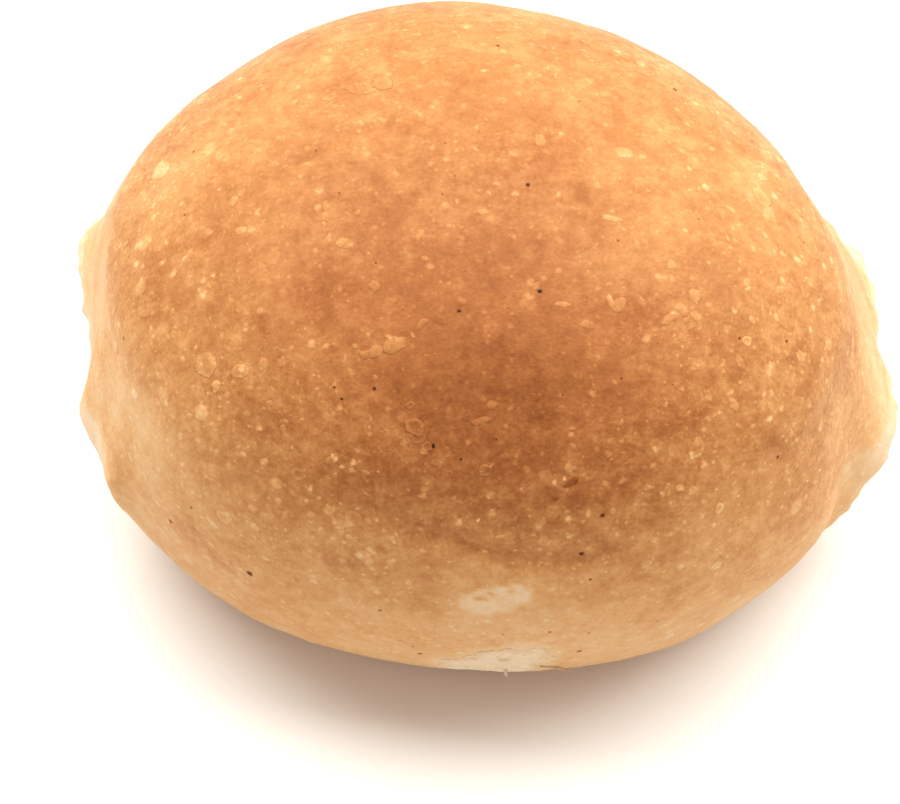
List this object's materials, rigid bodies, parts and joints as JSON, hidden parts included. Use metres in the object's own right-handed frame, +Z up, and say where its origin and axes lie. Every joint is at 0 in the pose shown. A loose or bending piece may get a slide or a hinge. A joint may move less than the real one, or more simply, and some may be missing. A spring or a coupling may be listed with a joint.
{
  "type": "bread roll",
  "caption": "Soft round bread roll with a domed golden crust, a flat base and pale torn crumb on both sides, pulled from a batch.",
  "frame": {"origin": "on the table, under the middle of the roll's box", "axes": "+Z up through the crown, +X from the left torn side to the right one, +Y from the front to the back"},
  "size_m": [0.0974, 0.0804, 0.0562],
  "materials": {
    "crust": "mottled golden brown baked crust, satin",
    "crumb": "pale torn bread crumb, matt"
  },
  "bodies": {
    "root": {"bread_roll": "crust"}
  },
  "joints": []
}
